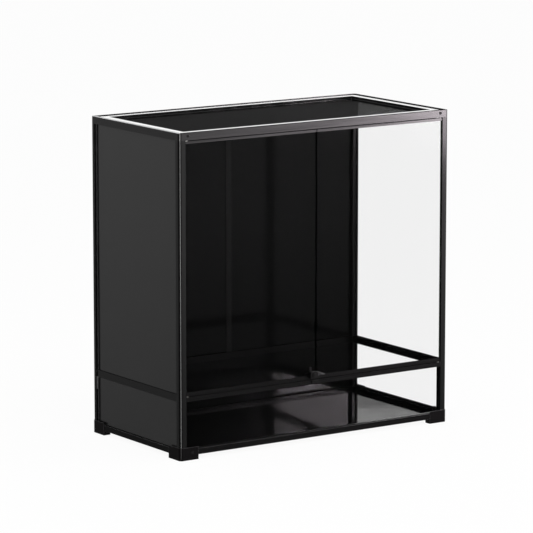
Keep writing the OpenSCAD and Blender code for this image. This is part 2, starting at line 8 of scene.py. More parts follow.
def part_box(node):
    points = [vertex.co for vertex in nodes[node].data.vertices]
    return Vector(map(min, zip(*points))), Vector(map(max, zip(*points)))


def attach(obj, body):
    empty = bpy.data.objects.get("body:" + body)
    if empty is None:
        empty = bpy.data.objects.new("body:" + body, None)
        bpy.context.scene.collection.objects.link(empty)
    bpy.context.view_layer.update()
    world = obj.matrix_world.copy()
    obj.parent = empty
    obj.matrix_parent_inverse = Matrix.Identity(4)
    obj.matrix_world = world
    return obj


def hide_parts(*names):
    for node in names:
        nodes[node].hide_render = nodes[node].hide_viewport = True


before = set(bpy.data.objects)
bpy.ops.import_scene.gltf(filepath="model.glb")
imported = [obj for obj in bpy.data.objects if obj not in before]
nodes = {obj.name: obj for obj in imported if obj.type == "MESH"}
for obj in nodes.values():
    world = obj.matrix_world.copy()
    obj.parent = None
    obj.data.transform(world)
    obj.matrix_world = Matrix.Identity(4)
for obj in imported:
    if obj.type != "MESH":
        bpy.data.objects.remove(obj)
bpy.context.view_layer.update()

scene = bpy.context.scene
MM = 0.001
WHITE = (1, 1, 1, 1)

CORNERS = ["front_left", "front_right", "rear_left", "rear_right"]
FEET = ["foot_" + corner for corner in CORNERS]
KEYS = ["corner_key_" + corner for corner in CORNERS]


# ---------- helpers ----------

def add(tree, kind, values=None, links=None, **settings):
    """Adds a node with its settings, its plain input values and its linked inputs."""
    node = tree.nodes.new(kind)
    for name, value in settings.items():
        setattr(node, name, value)
    for name, value in (values or {}).items():
        node.inputs[name].default_value = value
    for name, source in (links or {}).items():
        tree.links.new(source, node.inputs[name])
    return node


def linear(code):
    """Turns an sRGB hex colour into linear red, green, blue and alpha."""
    parts = [int(code[i:i + 2], 16) / 255 for i in (1, 3, 5)]
    return tuple(c / 12.92 if c <= 0.04045 else ((c + 0.055) / 1.055) ** 2.4 for c in parts) + (1,)


def put(mesh, name, material, body):
    """Makes a finished mesh a piece that rides on a body."""
    piece = bpy.data.objects.new(name, mesh)
    scene.collection.objects.link(piece)
    mesh.materials.clear()
    mesh.materials.append(material)
    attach(piece, body)
    return piece


def paint(material, *names):
    """Gives the plain pieces their finish."""
    for name in names:
        mesh = nodes[name].data
        if not mesh.materials:
            mesh.materials.append(material)
        for slot in nodes[name].material_slots:
            slot.material = material


# ---------- materials ----------

def start_material(name):
    material = bpy.data.materials.new(name)
    material.use_nodes = True
    material.node_tree.nodes.clear()
    return material, material.node_tree


def stretched(tree, scale):
    """Object coordinates, scaled along each axis in features per metre."""
    where = add(tree, "ShaderNodeTexCoord")
    return add(tree, "ShaderNodeMapping", {"Scale": scale}, {"Vector": where.outputs["Object"]})


# How far the rounded normal has turned from the face's own, as a cosine, where an arris begins
# and where it is full.
ARRIS_TURN = (0.995, 0.8)


def soft_edges(tree, radius_mm):
    """Normals rounded at the arrises, and a mask that is 1 on them."""
    edge = add(tree, "ShaderNodeBevel", {"Radius": radius_mm * MM}, samples=6)
    face = add(tree, "ShaderNodeNewGeometry")
    match = add(tree, "ShaderNodeVectorMath", operation="DOT_PRODUCT")
    tree.links.new(edge.outputs["Normal"], match.inputs[0])
    tree.links.new(face.outputs["True Normal"], match.inputs[1])
    begins, full = ARRIS_TURN
    mask = add(tree, "ShaderNodeMapRange", {"From Min": begins, "From Max": full},
               {"Value": match.outputs["Value"]})
    return edge.outputs["Normal"], mask.outputs["Result"]


def own_direction(tree):
    """The way a face looks, split along its piece's own axes, so that it turns with a door."""
    face = add(tree, "ShaderNodeNewGeometry")
    own = add(tree, "ShaderNodeVectorTransform", links={"Vector": face.outputs["True Normal"]},
              vector_type="NORMAL", convert_from="WORLD", convert_to="OBJECT")
    return add(tree, "ShaderNodeSeparateXYZ", links={"Vector": own.outputs["Vector"]})


# A face counts as looking along an axis from the first cosine on, and fully from the second.
FACING = (0.6, 0.9)


def level_by_face(tree, level, faces):
    """A specular level that changes on the faces that look along +X, +Y or +Z, as faces says."""
    split = own_direction(tree)
    begins, full = FACING
    total = None
    for axis, other in faces.items():
        start = level if total is None else 0.0
        step = add(tree, "ShaderNodeMapRange", {
            "From Min": begins, "From Max": full, "To Min": start, "To Max": start + other - level},
            {"Value": split.outputs[axis]})
        if total is not None:
            step = add(tree, "ShaderNodeMath", links={0: total, 1: step.outputs["Result"]})
        total = step.outputs[0]
    return total


# Slow drift of the colour over a piece, and how much paler its palest places are.
MOTTLE_MM = 90
MOTTLE_GAIN = 1.25
# Nearly all of a noise pattern lies between these two values.
NOISE_SPAN = (0.3, 0.7)


def worn_surface(name, colour, arris_highlight_colour, rough, grain, grain_mm, level=0.5, arris_mm=0.5,
                 faces=None, uneven=0.03, **shader):
    """A surface with a grain of real size, uneven gloss, slight mottling and a painted highlight on its
    arrises.

    grain holds the grain's size in millimetres along X, Y and Z, grain_mm its height, level the
    specular level and uneven how far the roughness strays. faces gives another level to the
    faces that look along +X, +Y or +Z.
    """
    material, tree = start_material(name)
    fine = stretched(tree, [1 / (size * MM) for size in grain])
    lines = add(tree, "ShaderNodeTexNoise", {"Scale": 1.0, "Detail": 0.0},
                {"Vector": fine.outputs["Vector"]})
    broad = stretched(tree, [1 / (MOTTLE_MM * MM)] * 3)
    cloud = add(tree, "ShaderNodeTexNoise", {"Scale": 1.0, "Detail": 1.0},
                {"Vector": broad.outputs["Vector"]})
    normal, arris_highlight_mask = soft_edges(tree, arris_mm)
    paler = [c * MOTTLE_GAIN for c in linear(colour)[:3]] + [1]
    shade = add(tree, "ShaderNodeMixRGB", {"Color1": linear(colour), "Color2": paler},
                {"Fac": cloud.outputs["Fac"]})
    # Painted highlight: the arrises take the paler colour.
    edge = add(tree, "ShaderNodeMixRGB", {"Color2": linear(arris_highlight_colour)},
               {"Fac": arris_highlight_mask, "Color1": shade.outputs["Color"]})
    gloss = add(tree, "ShaderNodeMapRange",
                {"From Min": NOISE_SPAN[0], "From Max": NOISE_SPAN[1],
                 "To Min": rough - uneven, "To Max": rough + uneven},
                {"Value": lines.outputs["Fac"]})
    bump = add(tree, "ShaderNodeBump", {"Strength": 1.0, "Distance": grain_mm * MM},
               {"Height": lines.outputs["Fac"], "Normal": normal})
    skin = add(tree, "ShaderNodeBsdfPrincipled", {"Specular IOR Level": level, **shader},
               {"Base Color": edge.outputs["Color"], "Roughness": gloss.outputs["Result"],
                "Normal": bump.outputs["Normal"]})
    if faces:
        tree.links.new(level_by_face(tree, level, faces), skin.inputs["Specular IOR Level"])
    add(tree, "ShaderNodeOutputMaterial", links={"Surface": skin.outputs["BSDF"]})
    return material


# A low-reflection pane, with hardly any veil on it.
GLASS_IOR = 1.08


def clear_glass(name, tint, edge_tint, pane_axis):
    """Float glass: nearly colourless through its faces and dark in its cut edges.

    It refracts where it is looked through, and lets lamps and reflections pass as a thin pane does.
    """
    material, tree = start_material(name)
    flat = add(tree, "ShaderNodeMath", operation="ABSOLUTE",
               links={0: own_direction(tree).outputs[pane_axis]})
    colour = add(tree, "ShaderNodeMixRGB", {"Color1": linear(edge_tint), "Color2": linear(tint)},
                 {"Fac": flat.outputs["Value"]})
    skin = add(tree, "ShaderNodeBsdfPrincipled",
               {"Roughness": 0.0, "IOR": GLASS_IOR, "Transmission Weight": 1.0},
               {"Base Color": colour.outputs["Color"]})
    through = add(tree, "ShaderNodeBsdfTransparent", {"Color": linear(tint)})
    path = add(tree, "ShaderNodeLightPath")
    looked = add(tree, "ShaderNodeMath", operation="MAXIMUM",
                 links={0: path.outputs["Is Camera Ray"], 1: path.outputs["Is Transmission Ray"]})
    both = add(tree, "ShaderNodeMixShader", links={"Fac": looked.outputs["Value"]})
    tree.links.new(through.outputs["BSDF"], both.inputs[1])
    tree.links.new(skin.outputs["BSDF"], both.inputs[2])
    add(tree, "ShaderNodeOutputMaterial", links={"Surface": both.outputs["Shader"]})
    return material


# Extruded satin PVC: draw lines run along the length. The real ones are about 0.3 mm apart,
# too fine to show, so they are drawn at 1.6 mm.
DRAW_MM = 1.6
DRAW_DEPTH_MM = 0.004
LENGTH_MM = 240
GRAIN = {"x": (LENGTH_MM, DRAW_MM, DRAW_MM), "y": (DRAW_MM, LENGTH_MM, DRAW_MM),
         "z": (DRAW_MM, DRAW_MM, LENGTH_MM)}


def extrusion(name, colour, arris_highlight_colour, rough, level, **more):
    """The same finish three times over, with its draw lines along X, Y and Z."""
    return {axis: worn_surface(name + "_" + axis, colour, arris_highlight_colour, rough, grain,
                               DRAW_DEPTH_MM, level, **more) for axis, grain in GRAIN.items()}


# Both front posts, the left rear post and the left mid rail: an even satin black that shows the
# light beside it as a soft band.
satin = extrusion("satin_pvc_extrusion", "#0b0b0b", "#2c2a2d", 0.16, 0.3)
# Top rails and the doors' upper strips: their upper faces are left matt by the saw.
MATT_TOP = {"Z": 0.0}
top_satin = extrusion("sawn_top_pvc_extrusion", "#0c0b0c", "#2c2a2d", 0.22, 0.4, faces=MATT_TOP)
# The left top rail keeps some gloss above, so its top joins the lid's in one pale band.
left_satin = extrusion("glossy_top_pvc_extrusion", "#0c0b0c", "#2c2a2d", 0.24, 0.4,
                       faces={"Z": 0.13})
# Rear and right rails, right rear post: painted shade, darker and matt towards the enclosure, satin
# outside.
inner_satin = extrusion("matt_inside_pvc_extrusion", "#070707", "#0c0c0c", 0.2, 0.05,
                        faces={"X": 0.3, "Y": 0.3, "Z": 0.0})
# Sill and the doors' lower strips: painted shade, a duller, darker black, with the upper faces fully
# matt.
low_satin = extrusion("matt_pvc_extrusion", "#080808", "#2c2b2c", 0.3, 0.1, faces=MATT_TOP)
# Front and left base rails and cable track: a painted highlight on the arrises draws thin pale lines.
# They are also painted shade: a duller, darker black than the posts.
base_satin = extrusion("rubbed_pvc_extrusion", "#080808", "#8a888a", 0.3, 0.1, arris_mm=0.9)

# Feet and corner keys: injection-moulded ABS with a spark-eroded grain of 0.5 mm, drawn at 1 mm,
# whose corners carry a painted highlight in a pale line.
moulded = worn_surface("spark_grained_abs", "#0c0a0b", "#7c7a7d", 0.3, (1, 1, 1), 0.006, 0.08,
                       arris_mm=0.9)
# The lid's frame is moulded in a polished tool, so its top mirrors the bright back of the room.
# It has sink marks, 20 mm across.
lid_abs = worn_surface("polished_abs", "#0f0f0f", "#3a3a3a", 0.12, (20, 20, 20), 0.004, 0.5)
# The lock's case and strike: the same grained ABS, duller, so that they stay a dark block.
lock_abs = worn_surface("dull_grained_abs", "#080808", "#2a292b", 0.38, (1, 1, 1), 0.006, 0.1)
# The pull's rounded edges carry a painted highlight, which draws its sloping roof as a light bar.
pull_abs = worn_surface("edge_rubbed_abs", "#0a0a0a", "#b0aeb0", 0.3, (1, 1, 1), 0.005, 0.1,
                        arris_mm=1.6)
# The gate: grey ABS with a deeper grain, plainly paler than the frame round it.
grey_abs = worn_surface("grey_grained_abs", "#4e4e4e", "#858585", 0.42, (1, 1, 1), 0.01, 0.3)

# Rolled PVC sheet: nearly flat, with a faint orange peel, 60 mm across.
# Its outer face is satin, and its face towards the enclosure has a deep, low gloss.
PEEL = (60, 60, 60)
sheet_left = worn_surface("satin_rolled_pvc_sheet", "#171717", "#2e2e2e", 0.24, PEEL, 0.001, 0.8,
                          faces={"X": 0.07}, uneven=0.004)
sheet_rear = worn_surface("gloss_rolled_pvc_sheet", "#050505", "#0c0c0c", 0.08, PEEL, 0.002, 0.07,
                          faces={"Y": 0.6}, uneven=0.01)
# The strip between the two back panels is extruded, so it is a shade paler than the sheet.
joint_pvc = worn_surface("gloss_pvc_extrusion", "#111111", "#1e1e1e", 0.1, GRAIN["z"], 0.002,
                         0.075, arris_mm=1.0, faces={"Y": 0.4}, uneven=0.01)
# The floor panel is polished sheet, and mirrors faintly what stands over it.
floor_sheet = worn_surface("polished_pvc_sheet", "#040404", "#0c0c0c", 0.05, PEEL, 0.002, 0.02)

# Extruded rubber: matt and nearly black, with a coarse skin.
rubber = worn_surface("extruded_rubber", "#060606", "#101010", 0.7, (2, 2, 2), 0.01, 0.1)
# Turned natural nylon: off-white, with a soft sheen.
nylon = worn_surface("turned_nylon", "#b9b8b2", "#d8d7d2", 0.45, (1, 1, 1), 0.005)
# Zinc-plated steel: a bright grey, with short streaks from the plating barrel.
zinc = worn_surface("zinc_plated_steel", "#a8a8a6", "#c9c9c7", 0.32, (0.8, 6, 0.8), 0.004,
                    Metallic=1.0)
# Blackened steel: a fine blasted grain of 0.2 mm, drawn at 0.6 mm, and greyer on its rubbed edges.
# The grey on the edges is also a painted highlight.
black_oxide = worn_surface("black_oxide_steel", "#060606", "#3a3839", 0.42, (0.6, 0.6, 0.6), 0.004,
                           0.12)
# Powder-coated wire: dark grey and matt, which reads as a grey veil from a step away.
coated_wire = worn_surface("coated_steel_wire", "#1d1d1d", "#222222", 0.5, (2, 2, 2), 0.003, 0.1,
                           arris_mm=0.05)

pane_y = clear_glass("float_glass_front", "#f9f9f9", "#020302", "Y")
pane_x = clear_glass("float_glass_side", "#f9f9f9", "#020302", "X")

paint(satin["z"], "post_front_left", "post_front_right", "post_rear_left")
paint(satin["y"], "mid_rail_left")
paint(inner_satin["z"], "post_rear_right")
paint(inner_satin["x"], "mid_rail_rear", "base_rail_rear")
paint(inner_satin["y"], "mid_rail_right", "base_rail_right")
paint(low_satin["x"], "sill_front", "door_left_low_strip", "door_right_low_strip")
paint(top_satin["x"], "top_rail_front", "top_rail_rear", "door_left_top_strip",
      "door_right_top_strip")
paint(left_satin["y"], "top_rail_left")
paint(top_satin["y"], "top_rail_right")
paint(base_satin["x"], "base_rail_front")
paint(base_satin["y"], "base_rail_left")
paint(base_satin["z"], "cable_track")
paint(moulded, *FEET, *KEYS)
paint(lid_abs, "lid_frame")
paint(sheet_left, "panel_left_upper", "panel_left_lower")
paint(sheet_rear, "panel_rear_upper_left", "panel_rear_upper_right", "panel_rear_lower")
paint(joint_pvc, "joint_strip_rear")
paint(floor_sheet, "floor_panel")
paint(pane_y, "glass_front_lower", "door_left_glass", "door_right_glass")
paint(pane_x, "glass_right_upper", "glass_right_lower")
paint(rubber, "lid_spline")
paint(zinc, "rail_dowels", "hinge_pins")
paint(black_oxide, "lock_nut", "lock_knob", "lock_cam", "cam_screw")
paint(nylon, "hinge_washers")
paint(lock_abs, "lock_case", "lock_strike")
paint(pull_abs, "door_right_pull")
paint(grey_abs, "cable_gate")


# ---------- geometry node trees ----------

def new_tree(name, inputs):
    """An empty tree with named inputs, given as name: (kind, value)."""
    tree = bpy.data.node_groups.new(name, "GeometryNodeTree")
    tree.interface.new_socket("Geometry", in_out="OUTPUT", socket_type="NodeSocketGeometry")
    for label, (kind, value) in inputs.items():
        socket = tree.interface.new_socket(label, in_out="INPUT", socket_type="NodeSocket" + kind)
        if value is not None:
            socket.default_value = value
    return tree, add(tree, "NodeGroupInput")


def end_tree(tree, geometry):
    """Ends a tree in Realize Instances and Set Material."""
    # new_tree adds the group's input first
    entry = tree.nodes[0]
    real = add(tree, "GeometryNodeRealizeInstances", links={"Geometry": geometry})
    coated = add(tree, "GeometryNodeSetMaterial",
                 links={"Geometry": real.outputs["Geometry"], "Material": entry.outputs["Material"]})
    add(tree, "NodeGroupOutput", links={"Geometry": coated.outputs["Geometry"]})
    return tree


def grow(tree, start, **values):
    """Runs a tree on a mesh and returns the result as a plain mesh."""
    holder = bpy.data.objects.new("holder", start)
    scene.collection.objects.link(holder)
    modifier = holder.modifiers.new("grow", "NODES")
    modifier.node_group = tree
    for item in tree.interface.items_tree:
        label = item.name.replace(" ", "_").lower()
        if item.in_out == "INPUT" and label in values:
            modifier[item.identifier] = values[label]
    bpy.context.view_layer.update()
    graph = bpy.context.evaluated_depsgraph_get()
    mesh = bpy.data.meshes.new_from_object(holder.evaluated_get(graph))
    holder.modifiers.remove(modifier)
    bpy.data.objects.remove(holder)
    return mesh


def points_mesh(name, places, directions):
    """Loose points that carry a direction each."""
    mesh = bpy.data.meshes.new(name)
    mesh.from_pydata(places, [], [])
    outward = mesh.attributes.new("outward", "FLOAT_VECTOR", "POINT")
    for item, direction in zip(outward.data, directions):
        item.vector = direction
    return mesh


def wire_layer(tree, entry, along, across, runs, height):
    """One layer of parallel wires, which run along X or Y."""
    spans = add(tree, "ShaderNodeMath", {1: 0.5}, {0: entry.outputs[across]}, operation="MULTIPLY")
    low = add(tree, "ShaderNodeMath", {1: -1.0}, {0: spans.outputs["Value"]}, operation="MULTIPLY")
    wires = add(tree, "ShaderNodeMath", links={0: entry.outputs[across], 1: entry.outputs["Pitch"]},
                operation="DIVIDE")
    axis = "Y" if runs == "X" else "X"
    start = add(tree, "ShaderNodeCombineXYZ", links={axis: low.outputs["Value"], "Z": height})
    end = add(tree, "ShaderNodeCombineXYZ", links={axis: spans.outputs["Value"], "Z": height})
    line = add(tree, "GeometryNodeMeshLine", links={
        "Count": wires.outputs["Value"], "Start Location": start.outputs["Vector"],
        "Offset": end.outputs["Vector"]}, mode="END_POINTS")
    radius = add(tree, "ShaderNodeMath", {1: 0.5}, {0: entry.outputs["Wire"]}, operation="MULTIPLY")
    rod = add(tree, "GeometryNodeMeshCylinder", {"Vertices": 6},
              {"Radius": radius.outputs["Value"], "Depth": entry.outputs[along]})
    angle = (0, math.pi / 2, 0) if runs == "X" else (math.pi / 2, 0, 0)
    copies = add(tree, "GeometryNodeInstanceOnPoints", {"Rotation": angle},
                 {"Points": line.outputs["Mesh"], "Instance": rod.outputs["Mesh"]})
    return copies.outputs["Instances"]


def wire_screen_tree():
    """Two crossing layers of straight wires, which touch."""
    tree, entry = new_tree("wire_screen", {
        "Length": ("Float", None), "Depth": ("Float", None), "Pitch": ("Float", None),
        "Wire": ("Float", None), "Material": ("Material", None)})
    up = add(tree, "ShaderNodeMath", {1: 0.49}, {0: entry.outputs["Wire"]}, operation="MULTIPLY")
    down = add(tree, "ShaderNodeMath", {1: -0.49}, {0: entry.outputs["Wire"]}, operation="MULTIPLY")
    long_way = wire_layer(tree, entry, "Length", "Depth", "X", up.outputs["Value"])
    short_way = wire_layer(tree, entry, "Depth", "Length", "Y", down.outputs["Value"])
    both = add(tree, "GeometryNodeJoinGeometry")
    tree.links.new(long_way, both.inputs["Geometry"])
    tree.links.new(short_way, both.inputs["Geometry"])
    return end_tree(tree, both.outputs["Geometry"])


def fastener_tree():
    """One fastener on each point, with its head along the point's direction."""
    tree, entry = new_tree("fasteners", {"Points": ("Geometry", None), "Fastener": ("Object", None),
                                         "Material": ("Material", None)})
    facing = add(tree, "GeometryNodeInputNamedAttribute", {"Name": "outward"},
                 data_type="FLOAT_VECTOR")
    turn = add(tree, "FunctionNodeAlignRotationToVector",
               links={"Vector": facing.outputs["Attribute"]}, axis="Z")
    model = add(tree, "GeometryNodeObjectInfo", links={"Object": entry.outputs["Fastener"]})
    copies = add(tree, "GeometryNodeInstanceOnPoints", links={
        "Points": entry.outputs["Points"], "Instance": model.outputs["Geometry"],
        "Rotation": turn.outputs["Rotation"]})
    return end_tree(tree, copies.outputs["Instances"])


def bead_tree():
    """A rubber bead along a rectangle in the XY plane."""
    tree, entry = new_tree("glazing_bead", {
        "Width": ("Float", None), "Height": ("Float", None), "Bead": ("Float", None),
        "Material": ("Material", None)})
    loop = add(tree, "GeometryNodeCurvePrimitiveQuadrilateral",
               links={"Width": entry.outputs["Width"], "Height": entry.outputs["Height"]})
    profile = add(tree, "GeometryNodeCurvePrimitiveCircle", {"Resolution": 8},
                  {"Radius": entry.outputs["Bead"]})
    run = add(tree, "GeometryNodeCurveToMesh", {"Fill Caps": False},
              {"Curve": loop.outputs["Curve"], "Profile Curve": profile.outputs["Curve"]})
    return end_tree(tree, run.outputs["Mesh"])


def rib_tree():
    """A row of round-topped ribs along Z."""
    tree, entry = new_tree("grip_ribs", {
        "Count": ("Int", None), "Pitch": ("Float", None), "Width": ("Float", None),
        "Rib": ("Float", None), "Material": ("Material", None)})
    step = add(tree, "ShaderNodeCombineXYZ", links={"Z": entry.outputs["Pitch"]})
    row = add(tree, "GeometryNodeMeshLine", links={"Count": entry.outputs["Count"],
                                                   "Offset": step.outputs["Vector"]})
    rib = add(tree, "GeometryNodeMeshCylinder", {"Vertices": 12},
              {"Radius": entry.outputs["Rib"], "Depth": entry.outputs["Width"]})
    copies = add(tree, "GeometryNodeInstanceOnPoints", {"Rotation": (math.pi / 2, 0, 0)},
                 {"Points": row.outputs["Mesh"], "Instance": rib.outputs["Mesh"]})
    return end_tree(tree, copies.outputs["Instances"])


# ---------- wire screen of the lid ----------

# Spacing and thickness of the wires. The real ones are finer, and these are drawn to show.
PITCH_MM = 3.0
WIRE_MM = 0.42


def wire_screen():
    low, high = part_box("lid_screen")
    mesh = grow(wire_screen_tree(), bpy.data.meshes.new("start"), length=high.x - low.x,
                depth=high.y - low.y, pitch=PITCH_MM * MM, wire=WIRE_MM * MM, material=coated_wire)
    mesh.transform(Matrix.Translation((low + high) / 2))
    screen = put(mesh, "wire_screen", coated_wire, "lid")
    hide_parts("lid_screen")


wire_screen()


# ---------- screws ----------

SHANK_MM = 2.0
HEAD_MM = 4.2
HEAD_RISE_MM = 1.4
# The head's crown is nearly flat, and rounded over at its edge.
CROWN_DROP_MM = 0.05
CROWN_EDGE_MM = (0.6, 0.7)
# The point narrows by the first over the length of the second.
POINT_MM = (0.8, 1.0)
RECESS_W_MM = 0.9
RECESS_L_MM = 4.6
RECESS_MM = 1.0
SIDES = 32
MERGE_MM = 0.001


def lathe(name, outline, sides):
    """Turns (radius, height) points, given in mm from the axis back to it, about +Z."""
    form = bmesh.new()
    points = [form.verts.new((r * MM, 0, z * MM)) for r, z in outline]
    edges = [form.edges.new(pair) for pair in zip(points, points[1:])]
    bmesh.ops.spin(form, geom=points + edges, axis=(0, 0, 1), cent=(0, 0, 0), steps=sides,
                   angle=2 * math.pi)
    bmesh.ops.remove_doubles(form, verts=form.verts, dist=MERGE_MM * MM)
    bmesh.ops.recalc_face_normals(form, faces=form.faces)
    mesh = bpy.data.meshes.new(name)
    form.to_mesh(mesh)
    form.free()
    return mesh


def box_mesh(name, sizes_mm):
    """A box round the origin."""
    form = bmesh.new()
    bmesh.ops.create_cube(form, size=1, matrix=Matrix.Diagonal([s * MM for s in sizes_mm] + [1]))
    mesh = bpy.data.meshes.new(name)
    form.to_mesh(mesh)
    form.free()
    return mesh


def pan_head_screw(length_mm):
    """A pan head screw with a cross recess; its head's top is at z = 0 and it points down."""
    edge_in, edge_down = CROWN_EDGE_MM
    narrower, point = POINT_MM
    tip = -HEAD_RISE_MM - length_mm
    outline = [(0, 0), (HEAD_MM - edge_in, -CROWN_DROP_MM), (HEAD_MM, -edge_down),
               (HEAD_MM, -HEAD_RISE_MM), (SHANK_MM, -HEAD_RISE_MM), (SHANK_MM, tip + point),
               (SHANK_MM - narrower, tip), (0, tip)]
    screw = bpy.data.objects.new("screw", lathe("screw", outline, SIDES))
    scene.collection.objects.link(screw)
    for sizes in [(RECESS_L_MM, RECESS_W_MM, 2 * RECESS_MM), (RECESS_W_MM, RECESS_L_MM, 2 * RECESS_MM)]:
        cutter = bpy.data.objects.new("cutter", box_mesh("cutter", sizes))
        scene.collection.objects.link(cutter)
        cut = screw.modifiers.new("recess", "BOOLEAN")
        cut.operation = "DIFFERENCE"
        cut.object = cutter
        bpy.context.view_layer.update()
        mesh = bpy.data.meshes.new_from_object(
            screw.evaluated_get(bpy.context.evaluated_depsgraph_get()))
        screw.modifiers.remove(cut)
        screw.data = mesh
        bpy.data.objects.remove(cutter)
    return screw


def screws(node, name, ends, length_mm):
    """Detailed screws in place of a node's plain ones; ends are (place, direction) pairs."""
    model = pan_head_screw(length_mm)
    start = points_mesh(name, [place for place, _ in ends], [way for _, way in ends])
    mesh = grow(fastener_tree(), start, fastener=model, material=black_oxide)
    bpy.data.objects.remove(model)
    piece = put(mesh, name, black_oxide, "frame")
    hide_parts(node)


# Each screw's distance from the corner of the frame, its height or drop, and its length.
RIM_SCREW_U_MM = 28.5
RIM_SCREW_DROP_MM = 8
RIM_SCREW_L_MM = 9
FOOT_SCREW_U_MM = 38
FOOT_SCREW_Z_MM = 20
FOOT_SCREW_L_MM = 12
post_low, post_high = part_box("post_front_right")
half_w = post_high.x
half_d = -post_low.y


def rim_screws():
    """Two screws through the front top rail and two through the rear one."""
    reach = half_w - RIM_SCREW_U_MM * MM
    face = -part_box("rim_screws")[0].y
    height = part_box("top_rail_front")[1].z - RIM_SCREW_DROP_MM * MM
    ends = [((side * reach, depth * face, height), (0, depth, 0))
            for side in (-1, 1) for depth in (-1, 1)]
    screws("rim_screws", "rim_screw_set", ends, RIM_SCREW_L_MM)


def foot_screws():
    """One screw in each foot. The right front foot has its own on the side."""
    across = half_w - FOOT_SCREW_U_MM * MM
    along = half_d - FOOT_SCREW_U_MM * MM
    height = FOOT_SCREW_Z_MM * MM
    face = -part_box("foot_front_left")[0].y + HEAD_RISE_MM * MM
    side_face = half_w + face - half_d
    ends = [((-across, -face, height), (0, -1, 0)), ((-across, face, height), (0, 1, 0)),
            ((across, face, height), (0, 1, 0)), ((side_face, -along, height), (1, 0, 0))]
    screws("foot_screws", "foot_screw_set", ends, FOOT_SCREW_L_MM)


rim_screws()
foot_screws()


# ---------- rubber beads round the panes ----------

BEAD_MM = 0.9


def bead(name, axis, outer_face, low_corner, high_corner):
    """A bead on the outer face of a pane, just inside the opening that shows it."""
    if axis == "Y":
        width, turn = high_corner.x - low_corner.x, Matrix.Rotation(math.pi / 2, 4, "X")
        centre = Vector(((low_corner.x + high_corner.x) / 2, outer_face, 0))
    else:
        width = high_corner.y - low_corner.y
        turn = Matrix.Rotation(math.pi / 2, 4, "Z") @ Matrix.Rotation(math.pi / 2, 4, "X")
        centre = Vector((outer_face, (low_corner.y + high_corner.y) / 2, 0))
    centre.z = (low_corner.z + high_corner.z) / 2
    inset = 2 * BEAD_MM * MM
    mesh = grow(beads_tree, bpy.data.meshes.new("start"), width=width - inset,
                height=high_corner.z - low_corner.z - inset, bead=BEAD_MM * MM, material=rubber)
    mesh.transform(Matrix.Translation(centre) @ turn)
    put(mesh, name, rubber, "frame")


beads_tree = bead_tree()
post_wide = post_high.x - post_low.x
open_x = half_w - post_wide
open_y = half_d - post_wide
base_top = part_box("base_rail_front")[1].z
UPPER = (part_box("mid_rail_left")[1].z, post_high.z)
LOWER = (base_top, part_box("mid_rail_left")[0].z)


def side_beads():
    """The left and right sides. The left one is seen only as far back as the cable track."""
    for side, pane, edge, back in [("left", "panel_left", 0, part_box("cable_track")[0].y),
                                   ("right", "glass_right", 1, open_y)]:
        for level, (low_z, high_z) in [("_upper", UPPER), ("_lower", LOWER)]:
            bead("bead_" + side + level, "X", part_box(pane + level)[edge].x,
                 Vector((0, -open_y, low_z)), Vector((0, back, high_z)))


def front_and_rear_beads():
    """The front base window and the back, whose two upper panels share one bead."""
    for label, pane, edge, (low_z, high_z) in [
            ("front_lower", "glass_front_lower", 0, LOWER),
            ("rear_upper", "panel_rear_upper_left", 1, UPPER),
            ("rear_lower", "panel_rear_lower", 1, LOWER)]:
        bead("bead_" + label, "Y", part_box(pane)[edge].y, Vector((-open_x, 0, low_z)),
             Vector((open_x, 0, high_z)))


side_beads()
front_and_rear_beads()


# ---------- seal over the doors ----------

# Depth and height of the seal, how far its front stands behind the rail's face, how far it stops
# short of the door's end, and the thickness of its lip.
SEAL_MM = (4, 4)
SEAL_SET_MM = 10
SEAL_END_MM = 12
LIP_MM = 0.8


def prism(name, outline, along, start, stop):
    """An outline swept straight along X or Y; its points are (y, z) or (x, z)."""
    form = bmesh.new()
    ends = [[form.verts.new((t, a, b) if along == "X" else (a, t, b)) for a, b in outline]
            for t in (start, stop)]
    form.faces.new(ends[0])
    form.faces.new(ends[1])
    for i in range(len(outline)):
        j = (i + 1) % len(outline)
        form.faces.new([ends[0][i], ends[0][j], ends[1][j], ends[1][i]])
    bmesh.ops.recalc_face_normals(form, faces=form.faces)
    mesh = bpy.data.meshes.new(name)
    form.to_mesh(mesh)
    form.free()
    return mesh


def door_seal():
    """A rubber lip under the front top rail, behind the doors, which closes the gap over them."""
    low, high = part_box("top_rail_front")
    deep, tall = (size * MM for size in SEAL_MM)
    lip = LIP_MM * MM
    back = low.y + SEAL_SET_MM * MM + deep
    outline = [(back, low.z), (back, low.z - lip), (back - lip, low.z - tall),
               (back - 2 * lip, low.z - tall), (back - deep, low.z - lip), (back - deep, low.z)]
    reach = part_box("door_right_top_strip")[1].x - SEAL_END_MM * MM
    put(prism("door_seal", outline, "X", -reach, reach), "door_seal", rubber, "frame")


door_seal()


# ---------- rubber channel at the foot of the right lower glass ----------

# Wall and height, with the top of each wall bevelled.
CHANNEL_MM = (1.6, 6.5)


def glass_channel():
    """A wall on each side of the glass, which stands on the base rail."""
    low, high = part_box("glass_right_lower")
    wall, tall = (size * MM for size in CHANNEL_MM)
    for name, face, out in [("channel_inside", low.x, -wall), ("channel_outside", high.x, wall)]:
        outline = [(face, base_top), (face + out, base_top), (face + out, base_top + tall - wall),
                   (face + out / 2, base_top + tall), (face, base_top + tall)]
        put(prism(name, outline, "Y", -open_y, open_y), name, rubber, "frame")


glass_channel()


# ---------- grip of the cable gate ----------

GRIP_RIBS = 5
GRIP_PITCH_MM = 2.4
GRIP_RIB_MM = 0.5
GRIP_START_MM = 4
GRIP_SHARE = 0.7


